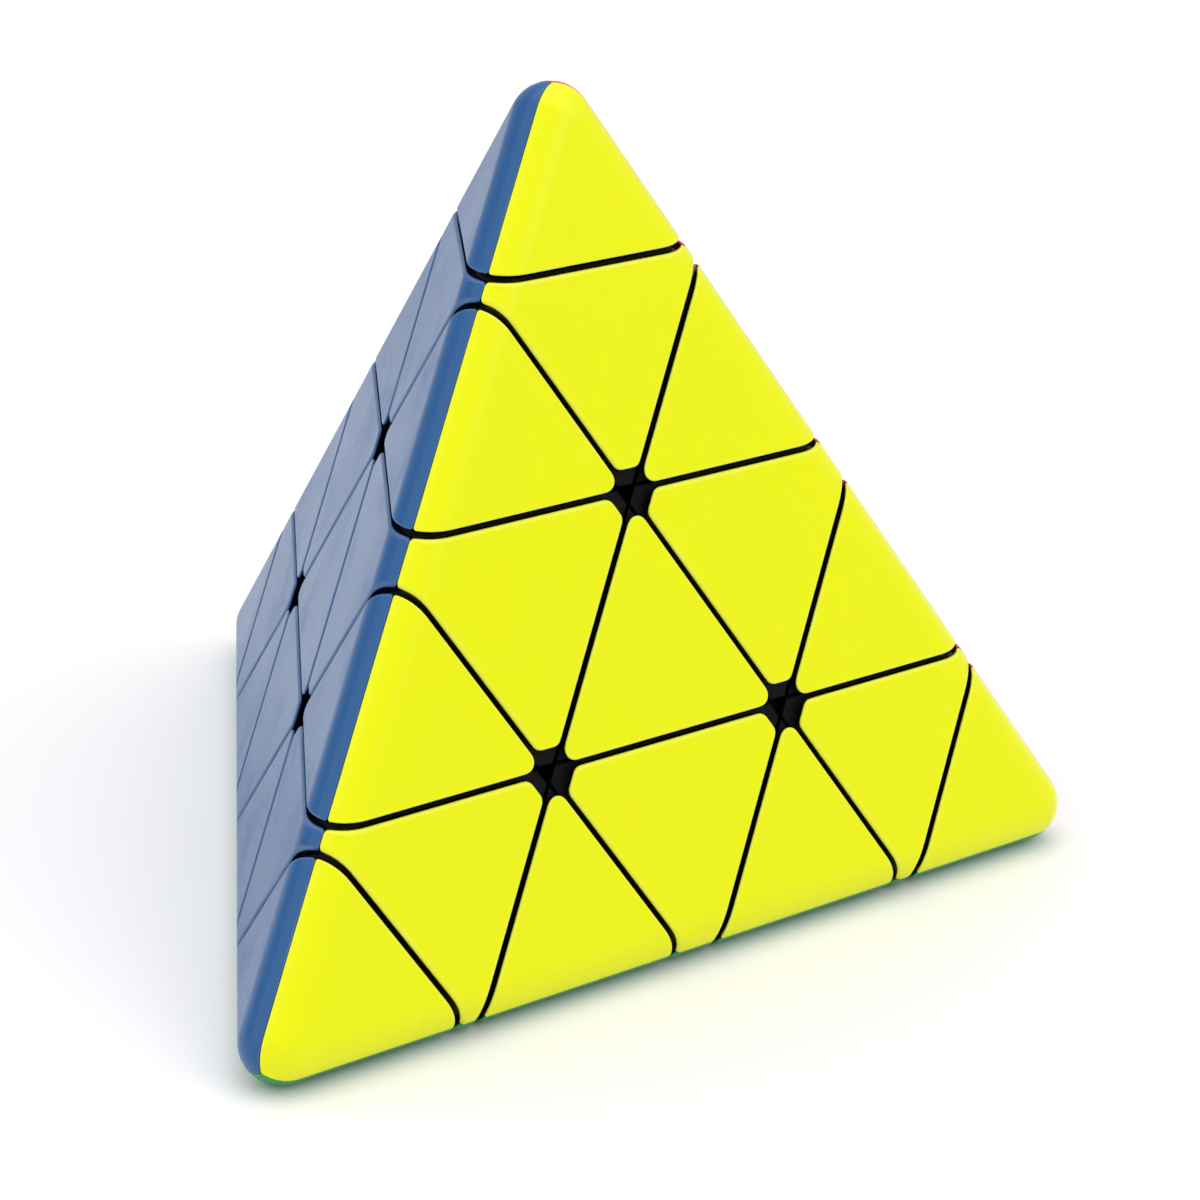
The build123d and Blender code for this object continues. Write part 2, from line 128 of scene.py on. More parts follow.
@dataclass(frozen=True)
class Pyramid:
    """Rounded pyramid that holds the puzzle, with its layer cuts.

    Cuts are shares of the height, from a face (0) to the opposite vertex (1), and
    blunt is the height that tiles lose at a corner that is taken off. Face frames have
    their origin at the centre of the puzzle, Z towards the vertex opposite the face and
    X towards one vertex of the face, so the face lies at Z = -inradius.
    """

    height: float
    rounding: float = 4.0 * MM
    tip_cut: float = 0.735
    cap_cut: float = 0.505
    deep_cut: float = 0.25
    blunt: float = 1.7 * MM

    @property
    def full_height(self) -> float:
        """Height of the pyramid before its edges are rounded."""
        return self.height + 2 * self.rounding

    @property
    def inradius(self) -> float:
        """Distance from the centre of the puzzle to a face."""
        return self.full_height / 4

    @property
    def reach(self) -> float:
        """Distance from the middle of a face to its unrounded vertex."""
        return self.full_height / ROOT2

    @property
    def centre(self) -> Vector:
        """Centre of the puzzle, where all turning axes meet."""
        return Vector((0, 0, self.inradius))

    def cut_height(self, share: float) -> float:
        """Distance of a layer cut from the centre of the puzzle, along its axis."""
        return share * self.full_height - self.inradius

    def seat(self, opposite: Corner, own: Corner) -> Matrix:
        """Face frame as a matrix.

        Args:
            opposite: vertex opposite the face.
            own: vertex of the face that X points towards.

        Returns:
            Matrix from the face frame to the row frame.
        """
        z_axis = opposite.direction
        x_axis = (own.direction - z_axis * own.direction.dot(z_axis)).normalized()
        y_axis = z_axis.cross(x_axis)
        turn = Matrix((x_axis, y_axis, z_axis)).transposed()
        return Matrix.Translation(self.centre) @ turn.to_4x4()

    def face_spot(self, own: float, after: float) -> tuple[float, float]:
        """Point of a face from its vertex weights.

        Args:
            own: weight of the vertex that X points towards.
            after: weight of the vertex a third of a turn on from it.

        Returns:
            X and Y in the face frame.
        """
        other = 1 - own - after
        return self.reach * (own - (after + other) / 2), self.reach * (after - other) * ROOT3 / 2

    def sunk(self, xy: np.ndarray, depth: np.ndarray | float) -> np.ndarray:
        """Points at a depth under the rounded surface, straight below face points.

        Args:
            xy: face points, one per row.
            depth: distance under the outer surface, measured square to it.

        Returns:
            Points in the face frame, one per row.
        """
        radius = self.rounding - np.asarray(depth, float)
        away = self.beyond_flat(xy)
        lean = np.minimum(away / radius, STEEPEST)
        drop = radius * (1 - np.sqrt(1 - lean**2))
        drop += (away - lean * radius) * STEEPEST / math.sqrt(1 - STEEPEST**2)
        return np.column_stack((xy, -self.inradius + depth + drop))

    def outward(self, xy: np.ndarray) -> np.ndarray:
        """Directions square to the outer surface at face points, one per row."""
        step = 0.001 * MM
        ahead, behind = np.array(((step, 0), (0, step))), np.array(((-step, 0), (0, -step)))
        rises = [
            self.beyond_flat(xy + there) - self.beyond_flat(xy + back)
            for there, back in zip(ahead, behind)
        ]
        heading = np.column_stack(rises) / (2 * step)
        lean = np.minimum(self.beyond_flat(xy) / self.rounding, STEEPEST)
        return np.column_stack((heading * lean[:, None], -np.sqrt(1 - lean**2)))

    def beyond_flat(self, xy: np.ndarray) -> np.ndarray:
        """Distance of face points from the flat triangle inside the rounded edges."""
        inner = self.reach / 2 - self.rounding * ROOT2
        inside = np.ones(len(xy), bool)
        nearest = np.full(len(xy), np.inf)
        for turn in (math.pi / 3, math.pi, -math.pi / 3):
            out = xy @ (math.cos(turn), math.sin(turn)) - inner
            along = np.abs(xy @ (-math.sin(turn), math.cos(turn))) - inner * ROOT3
            nearest = np.minimum(nearest, np.hypot(out, np.maximum(along, 0)))
            inside &= out <= 0
        return np.where(inside, 0.0, nearest)


@dataclass(frozen=True)
class TileCuts:
    """The flat sides, corners and peg place of one kind of tile.

    Attributes:
        cuts: vertex of the face frame, cut share and whether the tile lies beyond it.
        spot: vertex weights of the peg.
        sharp: pairs of cuts that meet in a sharp corner where six tiles meet.
        blunt: pairs of cuts at both ends of a corner that is taken off there.
    """

    cuts: tuple[Cut, ...]
    spot: tuple[float, float]
    sharp: tuple[tuple[int, int], ...] = ()
    blunt: tuple[tuple[int, int], ...] = ()


def tile_cuts(body: Pyramid) -> dict[TileKind, TileCuts]:
    """Sides of every kind of tile, from the layer cuts of the pyramid."""
    tip, cap, deep = body.tip_cut, body.cap_cut, body.deep_cut
    wing_own, wing_after = (tip + 2 * cap) / 3, (2 * deep + 1 - cap) / 3
    axial = tip - (tip - cap) / 3
    middle = (1 - deep * 2 / 3) / 2
    off = body.blunt / body.full_height
    return {
        TileKind.TIP: TileCuts((("W", tip, True),), (tip + (1 - tip) / 3, (1 - tip) / 3)),
        TileKind.AXIAL: TileCuts(
            (("W", tip, False), ("X", deep, False), ("U", deep, False), ("W", cap + off, True)),
            (axial, (1 - axial) / 2),
            blunt=((1, 3), (2, 3)),
        ),
        TileKind.WING: TileCuts(
            (("W", cap, True), ("X", deep, True), ("W", tip, False)),
            (wing_own, wing_after),
            sharp=((0, 1),),
        ),
        TileKind.WING_BACK: TileCuts(
            (("W", cap, True), ("U", deep, True), ("W", tip, False)),
            (wing_own, 1 - wing_own - wing_after),
            sharp=((0, 1),),
        ),
        TileKind.MIDDLE: TileCuts(
            (
                ("W", cap, False),
                ("X", cap, False),
                ("U", deep, False),
                ("W", deep + off, True),
                ("X", deep + off, True),
            ),
            (middle, middle),
            blunt=((0, 4), (2, 4), (1, 3), (2, 3)),
        ),
        TileKind.CENTRE: TileCuts(
            (("W", deep, True), ("X", deep, True), ("U", deep, True)),
            (1 / 3, 1 / 3),
            sharp=((0, 1), (0, 2), (1, 2)),
        ),
    }


AXES = {
    "V": np.array(Corner.TOP.value),
    "W": np.array((2 * ROOT2 / 3, 0, -1 / 3)),
    "X": np.array((-ROOT2 / 3, ROOT6 / 3, -1 / 3)),
    "U": np.array((-ROOT2 / 3, -ROOT6 / 3, -1 / 3)),
}


@dataclass(frozen=True)
class Plate:
    """Finished plate in the face frame.

    Attributes:
        points: places of the mesh points, one per row.
        faces: point numbers of each face.
        worn: how far each point lies on the rolled rim, 0 to 1, or -1 below the rim; the tile finish paints a
            highlight on the rim and shade below it from this.
        facing: direction of the outer surface at each point, or zeros elsewhere.
    """

    points: np.ndarray
    faces: list[tuple[int, ...]]
    worn: np.ndarray
    facing: np.ndarray


@dataclass
class TilePlate:
    """Closed mesh of one moulded tile: rolled rim, side walls, underside and peg."""

    body: Pyramid
    shape: TileCuts
    thickness: float = 1.1 * MM
    play: float = 0.3 * MM
    seam: float = 0.03 * MM
    rim: float = 0.28 * MM
    undercut: float = 0.25 * MM
    wall_start: float = 1.4
    seam_rim: float = 0.35
    corner: float = 1.3 * MM
    blunt_corner: float = 0.7 * MM
    soft_corner: float = 0.3 * MM
    peg_radius: float = 1.5 * MM
    peg_length: float = 2.0 * MM
    outline_points: int = 120
    rim_rows: int = 5
    rolled_rows: int = 6
    flat_rows: tuple[float, ...] = (0.97, 0.62, 0.3)
    flat_reach: float = 0.95

    def build(self) -> Plate:
        """Makes the plate in the face frame."""
        angles = self._angles()
        share = self._rim_share(angles)
        rows: list[np.ndarray] = [self._peg_ring(angles, self.peg_radius * 0.8, self.peg_length)]
        rows.append(self._peg_ring(angles, self.peg_radius, self.peg_length * 0.88))
        rows.append(self._peg_ring(angles, self.peg_radius, 0))
        # Rim marks for the tile finish: -1 on the walls and underside below the rim, where it paints shade,
        # and 0.4 to 1 on the rim, where it paints a highlight.
        marks = [BELOW_RIM] * UNDER_ROWS
        for depth in (self.thickness, self.rim * self.wall_start):
            rows.append(self._contour(angles, self.undercut * share, depth + 0 * share))
        for step in range(self.rim_rows):
            turn = math.pi / 2 * step / (self.rim_rows - 1)
            inset, depth = self.rim * (1 - math.cos(turn)), self.rim * (1 - math.sin(turn))
            rows.append(self._contour(angles, inset * share, depth * share))
            marks.append(math.sin(2 * turn) * 0.6 + 0.4)
        for radii in self._top_rows(angles, self._radii(angles, 1.5 * self.rim * share, 0 * share)):
            rows.append(self._top(angles, radii))
            marks.append(0.0)
        return self._mesh(rows, marks)

    def _top_rows(self, angles: np.ndarray, edge: np.ndarray) -> list[np.ndarray]:
        """Distances of the top rows from the peg.

        One row follows the line where the face starts to round over, so that no face
        of the mesh lies across that line.

        Args:
            angles: directions in the face.
            edge: distance of the outermost row.

        Returns:
            Distances of each row, from the rim to the middle.
        """
        low, high = 0 * edge, edge
        for _ in range(30):
            middle = (low + high) / 2
            flat = self.body.beyond_flat(self._around(angles, middle)) <= 0
            low, high = np.where(flat, middle, low), np.where(flat, high, middle)
        bend = np.minimum(low, edge * self.flat_reach)
        count = self.rolled_rows if self.body.beyond_flat(self._around(angles, edge)).any() else 1
        rows = [edge + (bend - edge) * step / count for step in range(count + 1)]
        return rows + [bend * part for part in self.flat_rows]

    def _sides(self) -> list[tuple[np.ndarray, float, bool]]:
        """Inward normal, offset and seam flag of each flat side."""
        sides = []
        for name, share, beyond in self.shape.cuts:
            height = self.body.cut_height(share)
            sign = 1 if beyond else -1
            sides.append((sign * AXES[name], sign * height + self.play, False))
        for name in "WXU":
            across = AXES[name] - AXES["V"]
            sides.append((across / np.linalg.norm(across), self.seam, True))
        return sides

    def _margins(self, points: np.ndarray) -> tuple[np.ndarray, np.ndarray]:
        """Distance inside the rounded outline, and the distances inside each side."""
        sides = self._sides()
        inside = np.array([points @ normal - offset for normal, offset, _ in sides])
        margin = inside.min(0)
        for first in range(len(sides)):
            for second in range(first + 1, len(sides)):
                radius = self._corner_radius((first, second))
                lean = float(sides[first][0] @ sides[second][0])
                if lean < OPPOSITE:
                    continue
                a, b = radius - inside[first], radius - inside[second]
                alpha, beta = (a - b * lean) / (1 - lean**2), (b - a * lean) / (1 - lean**2)
                away = np.sqrt(np.maximum(alpha**2 + beta**2 + 2 * alpha * beta * lean, 0))
                rolled = np.where((alpha > 0) & (beta > 0), radius - away, np.inf)
                margin = np.minimum(margin, rolled)
        return margin, inside

    def _corner_radius(self, pair: tuple[int, int]) -> float:
        """Radius of the corner between two sides."""
        if pair in self.shape.sharp:
            return self.corner
        return self.blunt_corner if pair in self.shape.blunt else self.soft_corner

    def _radii(self, angles: np.ndarray, inset: np.ndarray, depth: np.ndarray) -> np.ndarray:
        """How far from the peg the outline lies in each direction.

        Args:
            angles: directions in the face.
            inset: distance of the wanted line inside the outline.
            depth: depth of the wanted line under the outer surface.

        Returns:
            Distance from the peg, one per direction.
        """
        low = np.zeros(len(angles))
        high = np.full(len(angles), self.body.reach)
        for _ in range(40):
            middle = (low + high) / 2
            margin, _ = self._margins(self.body.sunk(self._around(angles, middle), depth))
            within = margin > inset
            low, high = np.where(within, middle, low), np.where(within, high, middle)
        return low

    def _around(self, angles: np.ndarray, radii: np.ndarray | float) -> np.ndarray:
        """Face points at these directions and distances from the peg."""
        x, y = self.body.face_spot(*self.shape.spot)
        return np.column_stack((x + radii * np.cos(angles), y + radii * np.sin(angles)))

    def _contour(self, angles: np.ndarray, inset: np.ndarray, depth: np.ndarray) -> np.ndarray:
        """One closed row of points around the tile."""
        return self.body.sunk(self._around(angles, self._radii(angles, inset, depth)), depth)

    def _top(self, angles: np.ndarray, radii: np.ndarray) -> np.ndarray:
        """One row of points on the outer surface."""
        return self.body.sunk(self._around(angles, radii), 0.0)

    def _peg_ring(self, angles: np.ndarray, radius: float, length: float) -> np.ndarray:
        """One row of points around the peg, this far below the underside."""
        ring = self.body.sunk(self._around(angles, radius), self.thickness)
        ring[:, 2] = -self.body.inradius + self.thickness + length
        return ring

    def _angles(self) -> np.ndarray:
        """Directions that space the outline points by length and by turn."""
        dense = np.linspace(-math.pi, math.pi, 1441)[:-1]
        line = self._contour(dense, 0 * dense, 0 * dense)
        step = np.roll(line, -1, 0) - line
        length = np.linalg.norm(step, axis=1)
        heading = step / length[:, None]
        turn = np.arccos(np.clip((heading * np.roll(heading, 1, 0)).sum(1), -1, 1))
        turn = np.convolve(np.concatenate((turn[-4:], turn, turn[:4])), np.ones(9) / 9, "valid")
        travelled = np.concatenate(([0.0], np.cumsum(length + 1.6 * MM * turn)))
        wanted = np.linspace(0, travelled[-1], self.outline_points + 1)[:-1]
        return np.interp(wanted, travelled, np.append(dense, math.pi))

    def _rim_share(self, angles: np.ndarray) -> np.ndarray:
        """Rim size in each direction: full on a cut, small where two faces meet."""
        line = self._contour(angles, 0 * angles, 0 * angles)
        _, inside = self._margins(line)
        nearness = np.exp(-(inside - inside.min(0)) / (0.12 * MM))
        sizes = np.array([self.seam_rim if seam else 1.0 for _, _, seam in self._sides()])
        return (nearness * sizes[:, None]).sum(0) / nearness.sum(0)

    def _mesh(self, rows: list[np.ndarray], marks: list[float]) -> Plate:
        """Joins rows of points into one closed skin with a middle point at each end."""
        count = self.outline_points
        start, end = rows[0].mean(0), self._top(np.zeros(1), np.zeros(1))[0]
        points = np.vstack([*rows, start, end])
        first, last = len(rows) * count, len(rows) * count + 1
        faces: list[tuple[int, ...]] = []
        for column in range(count):
            following = (column + 1) % count
            faces.append((first, following, column))
            for row in range(len(rows) - 1):
                low, high = row * count, (row + 1) * count
                faces.append((low + column, low + following, high + following, high + column))
            top = (len(rows) - 1) * count
            faces.append((top + column, top + following, last))
        facing = self.body.outward(points[:, :2])
        facing[: (UNDER_ROWS + self.rim_rows - 1) * count] = 0.0
        facing[first] = 0.0
        return Plate(points, faces, np.concatenate((np.repeat(marks, count), (BELOW_RIM, 0.0))), facing)


class NodeTree:
    """Small helper that adds and links nodes of one tree."""

    def __init__(self, tree: bpy.types.NodeTree) -> None:
        """Keeps the tree that nodes are added to."""
        self.tree = tree

    def add(self, kind: str, settings: dict[str, object] | None = None, **sockets: object) -> bpy.types.Node:
        """Adds one node.

        Args:
            kind: node type, without the ShaderNode prefix.
            settings: node properties by name.
            **sockets: socket name in lower case with underscores, and its value or source.

        Returns:
            The new node.
        """
        node = self.tree.nodes.new("ShaderNode" + kind)
        for name, value in (settings or {}).items():
            setattr(node, name, value)
        for name, value in sockets.items():
            self.feed(self._socket(node, name), value)
        return node

    def math(self, operation: str, first: object, second: object = 0.0) -> bpy.types.NodeSocket:
        """Adds one arithmetic node and gives its result."""
        node = self.add("Math", {"operation": operation})
        self.feed(node.inputs[0], first)
        self.feed(node.inputs[1], second)
        return node.outputs[0]

    def remap(
        self, source: object, low: float, high: float, new_low: float, new_high: float
    ) -> bpy.types.NodeSocket:
        """Adds one clamped linear remap and gives its result."""
        node = self.add("MapRange")
        for socket, value in zip(node.inputs, (source, low, high, new_low, new_high)):
            self.feed(socket, value)
        return node.outputs[0]

    def feed(self, socket: bpy.types.NodeSocket, value: object) -> None:
        """Links a source to a socket, or sets its value."""
        if isinstance(value, bpy.types.NodeSocket):
            self.tree.links.new(value, socket)
        else:
            socket.default_value = value

    @staticmethod
    def _socket(node: bpy.types.Node, name: str) -> bpy.types.NodeSocket:
        """Input socket of a node by its plain name."""
        wanted = name.replace("_", " ").lower()
        return next(socket for socket in node.inputs if socket.name.lower() == wanted)


class SurfaceGroup:
    """A shader node group with named inputs and outputs, built once and shared."""

    def __init__(self, name: str, inputs: dict[str, float], outputs: Sequence[str]) -> None:
        """Makes the group with its sockets.

        Args:
            name: name of the group.
            inputs: input names and their usual values; Coordinates is always there.
            outputs: names of the values that it puts out.
        """
        self.tree = bpy.data.node_groups.new(name, "ShaderNodeTree")
        face = self.tree.interface
        face.new_socket("Coordinates", in_out="INPUT", socket_type="NodeSocketVector")
        for label, value in inputs.items():
            socket = face.new_socket(label, in_out="INPUT", socket_type="NodeSocketFloat")
            socket.default_value = value
        for label in outputs:
            face.new_socket(label, in_out="OUTPUT", socket_type="NodeSocketFloat")
        self.source = self.tree.nodes.new("NodeGroupInput")
        self.sink = self.tree.nodes.new("NodeGroupOutput")
        self.nodes = NodeTree(self.tree)

    def given(self, label: str) -> bpy.types.NodeSocket:
        """Value that a material gives to this input."""
        return self.source.outputs[label]

    def put(self, label: str, value: bpy.types.NodeSocket) -> None:
        """Sends a value out of the group."""
        self.nodes.feed(self.sink.inputs[label], value)

    def place(self, nodes: NodeTree, coordinates: bpy.types.NodeSocket, **values: float) -> bpy.types.Node:
        """Puts the group into a material.

        Args:
            nodes: tree of the material.
            coordinates: where the surface point is.
            **values: input values, by lower-case name with underscores.

        Returns:
            The group node.
        """
        node = nodes.tree.nodes.new("ShaderNodeGroup")
        node.node_tree = self.tree
        nodes.feed(node.inputs["Coordinates"], coordinates)
        for name, value in values.items():
            nodes.feed(node.inputs[name.replace("_", " ").title()], value)
        return node


def moulded_skin() -> SurfaceGroup:
    """Micro-bump and uneven gloss of an injection-moulded surface."""
    group = SurfaceGroup("moulded_skin", {"Grain": 1.0, "Waviness": 1.0}, ("Height", "Gloss"))
    nodes = group.nodes
    where = group.given("Coordinates")
    fine = nodes.add("TexNoise", vector=where, scale=2600.0, detail=3.0, roughness=0.6)
    wavy = nodes.add("TexNoise", vector=where, scale=190.0, detail=1.5, roughness=0.4)
    cloudy = nodes.add("TexNoise", vector=where, scale=60.0, detail=4.0, roughness=0.55)
    fine_height = nodes.math("MULTIPLY", fine.outputs["Fac"], group.given("Grain"))
    wavy_height = nodes.math("MULTIPLY", wavy.outputs["Fac"], group.given("Waviness"))
    group.put("Height", nodes.math("ADD", fine_height, wavy_height))
    group.put("Gloss", nodes.remap(cloudy.outputs["Fac"], 0.35, 0.65, 0.0, 1.0))
    return group


def handling_marks() -> SurfaceGroup:
    """Hairline scratches and finger smudges of a puzzle that gets turned a lot."""
    group = SurfaceGroup("handling_marks", {"Amount": 1.0}, ("Scratches", "Smudges"))
    nodes = group.nodes
    hairlines = None
    for index, (turn, stretch) in enumerate(((0.5, 38.0), (2.1, 55.0))):
        mapped = nodes.add("Mapping", vector=group.given("Coordinates"))
        mapped.inputs["Rotation"].default_value = Euler((turn, 0.7 * turn, 1.3 - turn))
        mapped.inputs["Scale"].default_value = (1.0, stretch, stretch)
        streak = nodes.add(
            "TexNoise", vector=mapped.outputs[0], scale=34.0 + 9.0 * index, detail=2.0, roughness=0.7
        )
        line = nodes.remap(streak.outputs["Fac"], 0.69, 0.76, 0.0, 1.0)
        hairlines = line if hairlines is None else nodes.math("MAXIMUM", hairlines, line)
    smudge = nodes.add(
        "TexNoise", vector=group.given("Coordinates"), scale=110.0, detail=5.0, roughness=0.65, distortion=0.6
    )
    patch = nodes.remap(smudge.outputs["Fac"], 0.5, 0.72, 0.0, 1.0)
    group.put("Scratches", nodes.math("MULTIPLY", hairlines, group.given("Amount")))
    group.put("Smudges", nodes.math("MULTIPLY", patch, group.given("Amount")))
    return group


@dataclass(frozen=True)
class Finish:
    """Shared start of every finish: a named material with its nodes."""

    name: str

    def start(self) -> tuple[bpy.types.Material, NodeTree, bpy.types.Node, bpy.types.NodeSocket]:
        """Makes the empty material.

        Returns:
            Material, its nodes, its surface shader and the coordinates on the piece.
        """
        material = bpy.data.materials.new(self.name)
        material.use_nodes = True
        nodes = NodeTree(material.node_tree)
        shader = material.node_tree.nodes["Principled BSDF"]
        where = nodes.add("TexCoord").outputs["Object"]
        return material, nodes, shader, where

    @staticmethod
    def bump(nodes: NodeTree, shader: bpy.types.Node, height: bpy.types.NodeSocket, depth: float) -> None:
        """Adds a bump of this depth, in metres, under the shader."""
        node = nodes.add("Bump", height=height, strength=1.0, distance=depth)
        nodes.feed(shader.inputs["Normal"], node.outputs[0])


@dataclass(frozen=True)
class TilePlastic(Finish):
    """Glossy through-coloured tile plastic with handling marks, a painted highlight on the rims and painted
    shade on the walls below them.
    """

    colour: tuple[float, float, float]
    roughness: float = 0.26
    grain_depth: float = 0.000004
    shine: float = 0.5
    # Strength of the painted highlight on the rims.
    rim_fade: float = 0.22
    # Painted shade for the gaps between tiles: how far, and to which near-black colour, the walls and
    # underside below the rim are darkened.
    grime_cover: float = 0.9
    grime: tuple[float, float, float] = (0.004, 0.004, 0.004)

    def make(self, skin: SurfaceGroup, marks: SurfaceGroup) -> bpy.types.Material:
        """Builds the material.

        Args:
            skin: the moulded skin group.
            marks: the handling marks group.

        Returns:
            The finished material.
        """
        material, nodes, shader, where = self.start()
        surface = skin.place(nodes, where, grain=0.35, waviness=1.0)
        use = marks.place(nodes, where, amount=1.0)
        mark = nodes.add("Attribute", {"attribute_name": "rim"}).outputs["Fac"]
        rim = nodes.math("MAXIMUM", mark, 0.0)
        # Painted shade: points marked below the rim are mixed towards near black, standing in for the shadow
        # deep in the gaps between tiles.
        hidden = nodes.math("MULTIPLY", nodes.math("MINIMUM", mark, 0.0), -self.grime_cover)
        scratches, smudges = use.outputs["Scratches"], use.outputs["Smudges"]

        # Painted highlight: the rim is mixed towards a paler colour, stronger where handling smudges lie,
        # standing in for light caught on the rounded tile edges.
        worn = nodes.math("MULTIPLY", rim, nodes.remap(smudges, 0.0, 1.0, 0.35, 1.0))
        painted_rim_highlight = nodes.add("MixRGB", fac=nodes.math("MULTIPLY", worn, self.rim_fade))
        painted_rim_highlight.inputs["Color1"].default_value = (*self.colour, 1.0)
        painted_rim_highlight.inputs["Color2"].default_value = (*(0.5 + c / 2 for c in self.colour), 1.0)
        tint = nodes.add("MixRGB", fac=nodes.math("MULTIPLY", surface.outputs["Gloss"], 0.05))
        nodes.feed(tint.inputs["Color1"], painted_rim_highlight.outputs[0])
        tint.inputs["Color2"].default_value = (*(c * 0.75 for c in self.colour), 1.0)
        grime = nodes.add("MixRGB", fac=hidden)
        nodes.feed(grime.inputs["Color1"], tint.outputs[0])
        grime.inputs["Color2"].default_value = (*self.grime, 1.0)
        nodes.feed(shader.inputs["Base Color"], grime.outputs[0])

        rough = nodes.remap(surface.outputs["Gloss"], 0.0, 1.0, self.roughness, self.roughness + 0.05)
        for mask, more in ((scratches, 0.16), (smudges, 0.07), (rim, 0.05)):
            rough = nodes.math("ADD", rough, nodes.math("MULTIPLY", mask, more))
        nodes.feed(shader.inputs["Roughness"], rough)
        height = nodes.math("SUBTRACT", surface.outputs["Height"], nodes.math("MULTIPLY", scratches, 0.4))
        self.bump(nodes, shader, height, self.grain_depth)
        shader.inputs["IOR"].default_value = 1.45
        shader.inputs["Specular IOR Level"].default_value = self.shine
        return material


@dataclass(frozen=True)
class BasePlastic(Finish):
    """Satin black base plastic with sliding wear."""

    colour: tuple[float, float, float] = (0.004, 0.004, 0.0045)
    worn_colour: tuple[float, float, float] = (0.016, 0.016, 0.017)
    roughness: float = 0.42
    grain_depth: float = 0.00001
    shine: float = 0.08

    def make(self, skin: SurfaceGroup, marks: SurfaceGroup) -> bpy.types.Material:
        """Builds the material, from the same groups as the tiles."""
        material, nodes, shader, where = self.start()
        surface = skin.place(nodes, where, grain=1.0, waviness=0.5)
        use = marks.place(nodes, where, amount=0.8)
        # Real wear only here: smudges and scratches lighten the black base.
        smudged = nodes.math("MULTIPLY", use.outputs["Smudges"], 0.5)
        worn = nodes.math("ADD", smudged, use.outputs["Scratches"])
        tint = nodes.add("MixRGB", fac=nodes.math("MINIMUM", nodes.math("MULTIPLY", worn, 0.3), 1.0))
        tint.inputs["Color1"].default_value = (*self.colour, 1.0)
        tint.inputs["Color2"].default_value = (*self.worn_colour, 1.0)
        nodes.feed(shader.inputs["Base Color"], tint.outputs[0])
        rough = nodes.remap(surface.outputs["Gloss"], 0.0, 1.0, self.roughness, self.roughness + 0.12)
        rough = nodes.math("SUBTRACT", rough, nodes.math("MULTIPLY", use.outputs["Scratches"], 0.1))
        nodes.feed(shader.inputs["Roughness"], rough)
        self.bump(nodes, shader, surface.outputs["Height"], self.grain_depth)
        shader.inputs["IOR"].default_value = 1.5
        shader.inputs["Specular IOR Level"].default_value = self.shine
        return material


@dataclass(frozen=True)
class PlatedSteel(Finish):
    """Bright steel of screws, washers and springs, with fine drawing lines."""

    colour: tuple[float, float, float] = (0.56, 0.56, 0.58)
    roughness: float = 0.28
    line_depth: float = 0.000006

    def make(self, skin: SurfaceGroup, marks: SurfaceGroup) -> bpy.types.Material:
        """Builds the material, from the same groups as the tiles."""
        material, nodes, shader, where = self.start()
        surface = skin.place(nodes, where, grain=0.6, waviness=0.4)
        use = marks.place(nodes, where, amount=1.0)
        tint = nodes.add("MixRGB", fac=nodes.math("MULTIPLY", surface.outputs["Gloss"], 0.3))
        tint.inputs["Color1"].default_value = (*self.colour, 1.0)
        tint.inputs["Color2"].default_value = (*(c * 0.7 for c in self.colour), 1.0)
        nodes.feed(shader.inputs["Base Color"], tint.outputs[0])
        rough = nodes.math("MULTIPLY", use.outputs["Scratches"], 0.2)
        rough = nodes.math("ADD", rough, nodes.remap(use.outputs["Smudges"], 0.0, 1.0, self.roughness, 0.45))
        nodes.feed(shader.inputs["Roughness"], rough)
        self.bump(nodes, shader, surface.outputs["Height"], self.line_depth)
        shader.inputs["Metallic"].default_value = 1.0
        return material


@dataclass
class Palette:
    """All finishes of the puzzle, by the record's material slot."""

    materials: dict[str, bpy.types.Material] = field(default_factory=dict)

    def mix(self) -> None:
        """Builds every material from the two shared groups."""
        skin, marks = moulded_skin(), handling_marks()
        finishes = {
            "yellow_tile": TilePlastic("bright_yellow_tile", (0.79, 0.825, 0.0), shine=0.3),
            "blue_tile": TilePlastic("deep_blue_tile", (0.0, 0.078, 0.25)),
            "red_tile": TilePlastic("signal_red_tile", (0.68, 0.012, 0.008)),
            "green_tile": TilePlastic("grass_green_tile", (0.0, 0.26, 0.055)),
            "black_base": BasePlastic("satin_black_base"),
            "screw_steel": PlatedSteel("plated_steel"),
            "spring_steel": PlatedSteel("spring_wire", (0.47, 0.47, 0.5), 0.34),
        }
        for slot, finish in finishes.items():
            self.materials[slot] = finish.make(skin, marks)


